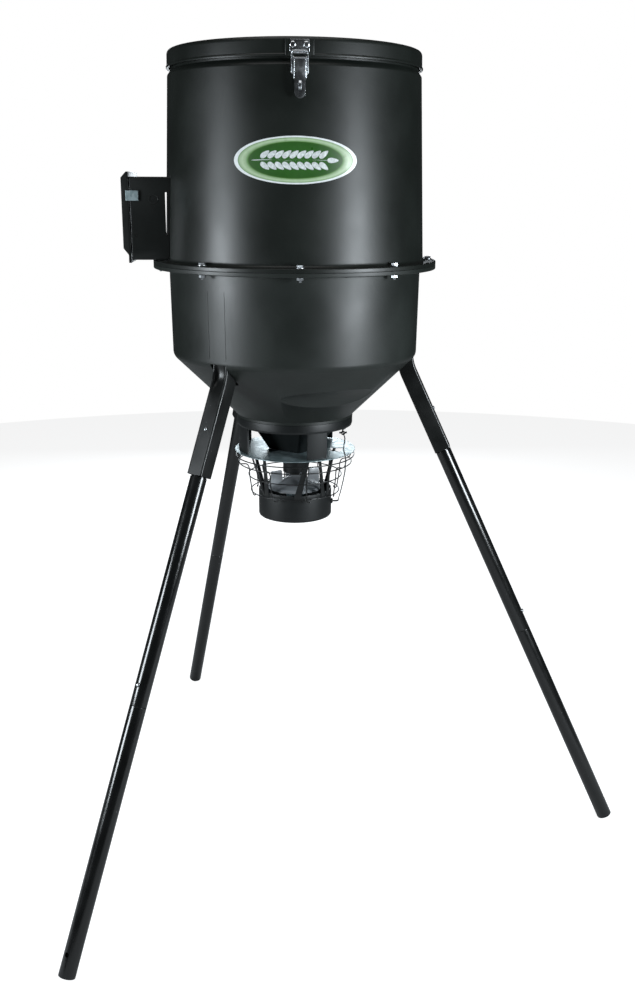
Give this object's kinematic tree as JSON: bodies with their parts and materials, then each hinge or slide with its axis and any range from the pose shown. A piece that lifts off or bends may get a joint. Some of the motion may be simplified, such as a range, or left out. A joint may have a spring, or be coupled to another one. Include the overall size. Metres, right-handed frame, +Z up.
{
  "type": "spin cast game feeder",
  "caption": "Black barrel hopper with a domed cap on a three-leg tubular tripod, with a side control box and a caged spinner kit under its cone.",
  "frame": {"origin": "bottom centre of the whole object's bounding box, on the ground", "axes": "+Z up; -Y is the side of the front latch; -X is the side of the control box"},
  "size_m": [1.1594, 1.2393, 1.6136],
  "materials": {
    "barrel_plastic": "satin black moulded plastic",
    "kit_plastic": "satin black moulded plastic",
    "box_plastic": "fine-textured black plastic",
    "leg_paint": "gloss black powder coat on steel",
    "zinc": "bright zinc plate",
    "chrome": "polished nickel plate",
    "galvanised": "dull blue-grey galvanised sheet",
    "smoked_plastic": "translucent smoke-grey plastic",
    "black_wire": "black coated steel wire",
    "lead_rubber": "black rubber and vinyl",
    "cell_case": "plain battery case",
    "board_case": "light grey timer case",
    "button_red": "red plastic button"
  },
  "bodies": {
    "feeder": {"upper_barrel": "barrel_plastic", "lower_hopper": "barrel_plastic", "flange_bolt_1": "zinc", "flange_bolt_2": "zinc", "flange_bolt_3": "zinc", "flange_bolt_4": "zinc", "flange_bolt_5": "zinc", "flange_bolt_6": "zinc", "flange_bolt_7": "zinc", "flange_bolt_8": "zinc", "flange_nut_1": "zinc", "flange_nut_2": "zinc", "flange_nut_3": "zinc", "flange_nut_4": "zinc", "flange_nut_5": "zinc", "flange_nut_6": "zinc", "flange_nut_7": "zinc", "flange_nut_8": "zinc", "leg_bracket_left": "leg_paint", "leg_bracket_right": "leg_paint", "leg_bracket_back": "leg_paint", "upper_leg_tube_left": "leg_paint", "upper_leg_tube_right": "leg_paint", "upper_leg_tube_back": "leg_paint", "lower_leg_tube_left": "leg_paint", "lower_leg_tube_right": "leg_paint", "lower_leg_tube_back": "leg_paint", "front_latch_base": "chrome", "rear_latch_base": "chrome", "control_box": "box_plastic", "battery": "cell_case", "timer_module": "board_case", "funnel_collar": "kit_plastic", "feed_funnel": "kit_plastic", "feed_plate": "galvanised", "feed_spout": "kit_plastic", "motor_cup": "kit_plastic", "motor": "galvanised", "varmint_cage": "black_wire", "lead_clip": "kit_plastic", "motor_lead": "lead_rubber", "cup_grommet": "lead_rubber"},
    "lid": {"lid": "barrel_plastic", "front_latch_keeper": "chrome", "rear_latch_keeper": "chrome"},
    "front_lever": {"front_latch_lever": "chrome"},
    "front_bail": {"front_latch_bail": "chrome"},
    "rear_lever": {"rear_latch_lever": "chrome"},
    "rear_bail": {"rear_latch_bail": "chrome"},
    "spinner": {"spinner": "smoked_plastic", "spinner_shaft": "zinc"},
    "control_door": {"control_door": "box_plastic"},
    "door_clip": {"door_clip": "galvanised"},
    "test_button": {"test_button": "button_red"},
    "tube_button_left": {"tube_button_left": "zinc"},
    "bracket_button_left": {"bracket_button_left": "zinc"},
    "tube_button_right": {"tube_button_right": "zinc"},
    "bracket_button_right": {"bracket_button_right": "zinc"},
    "tube_button_back": {"tube_button_back": "zinc"},
    "bracket_button_back": {"bracket_button_back": "zinc"}
  },
  "joints": [
    {"name": "lid_lift", "type": "slide", "parent": "feeder", "child": "lid", "axis": [0, 0, 1], "range_m": [0, 0.25]},
    {"name": "spinner_spin", "type": "hinge", "parent": "feeder", "child": "spinner", "pos_m": [-0.13382, -0.04724, 0.76], "axis": [0, 0, 1], "continuous": true},
    {"name": "control_door_hinge", "type": "hinge", "parent": "feeder", "child": "control_door", "pos_m": [-0.45232, 0.03426, 1.32], "axis": [0, 0, -1], "range_deg": [0, 110]},
    {"name": "door_clip_hinge", "type": "hinge", "parent": "control_door", "child": "door_clip", "pos_m": [-0.45432, -0.12784, 1.3528], "axis": [0, 0, -1], "range_deg": [0, 60]},
    {"name": "test_button_press", "type": "slide", "parent": "feeder", "child": "test_button", "axis": [1, 0, 0], "range_m": [0, 0.003], "stiffness_N_per_m": 300},
    {"name": "front_lever_hinge", "type": "hinge", "parent": "feeder", "child": "front_lever", "pos_m": [-0.13382, -0.29694, 1.576], "axis": [-1, 0, 0], "range_deg": [0, 150]},
    {"name": "front_bail_hinge", "type": "hinge", "parent": "front_lever", "child": "front_bail", "pos_m": [-0.13382, -0.29774, 1.554], "axis": [-1, 0, 0], "range_deg": [-165, 0]},
    {"name": "rear_lever_hinge", "type": "hinge", "parent": "feeder", "child": "rear_lever", "pos_m": [-0.13382, 0.20246, 1.576], "axis": [1, 0, 0], "range_deg": [0, 150]},
    {"name": "rear_bail_hinge", "type": "hinge", "parent": "rear_lever", "child": "rear_bail", "pos_m": [-0.13382, 0.20326, 1.554], "axis": [1, 0, 0], "range_deg": [-165, 0]},
    {"name": "tube_button_left_press", "type": "slide", "parent": "feeder", "child": "tube_button_left", "axis": [0.5533, 0.7159, -0.4259], "range_m": [0, 0.005], "stiffness_N_per_m": 900},
    {"name": "bracket_button_left_press", "type": "slide", "parent": "feeder", "child": "bracket_button_left", "axis": [0.5533, 0.7159, -0.4259], "range_m": [0, 0.005], "stiffness_N_per_m": 900},
    {"name": "tube_button_right_press", "type": "slide", "parent": "feeder", "child": "tube_button_right", "axis": [-0.8966, 0.1212, -0.4259], "range_m": [0, 0.005], "stiffness_N_per_m": 900},
    {"name": "bracket_button_right_press", "type": "slide", "parent": "feeder", "child": "bracket_button_right", "axis": [-0.8966, 0.1212, -0.4259], "range_m": [0, 0.005], "stiffness_N_per_m": 900},
    {"name": "tube_button_back_press", "type": "slide", "parent": "feeder", "child": "tube_button_back", "axis": [0.3433, -0.8371, -0.4259], "range_m": [0, 0.005], "stiffness_N_per_m": 900},
    {"name": "bracket_button_back_press", "type": "slide", "parent": "feeder", "child": "bracket_button_back", "axis": [0.3433, -0.8371, -0.4259], "range_m": [0, 0.005], "stiffness_N_per_m": 900}
  ],
  "couplings": [
    {"joint": "front_bail_hinge", "follows": "front_lever_hinge", "ratio": -1.1},
    {"joint": "rear_bail_hinge", "follows": "rear_lever_hinge", "ratio": -1.1}
  ]
}
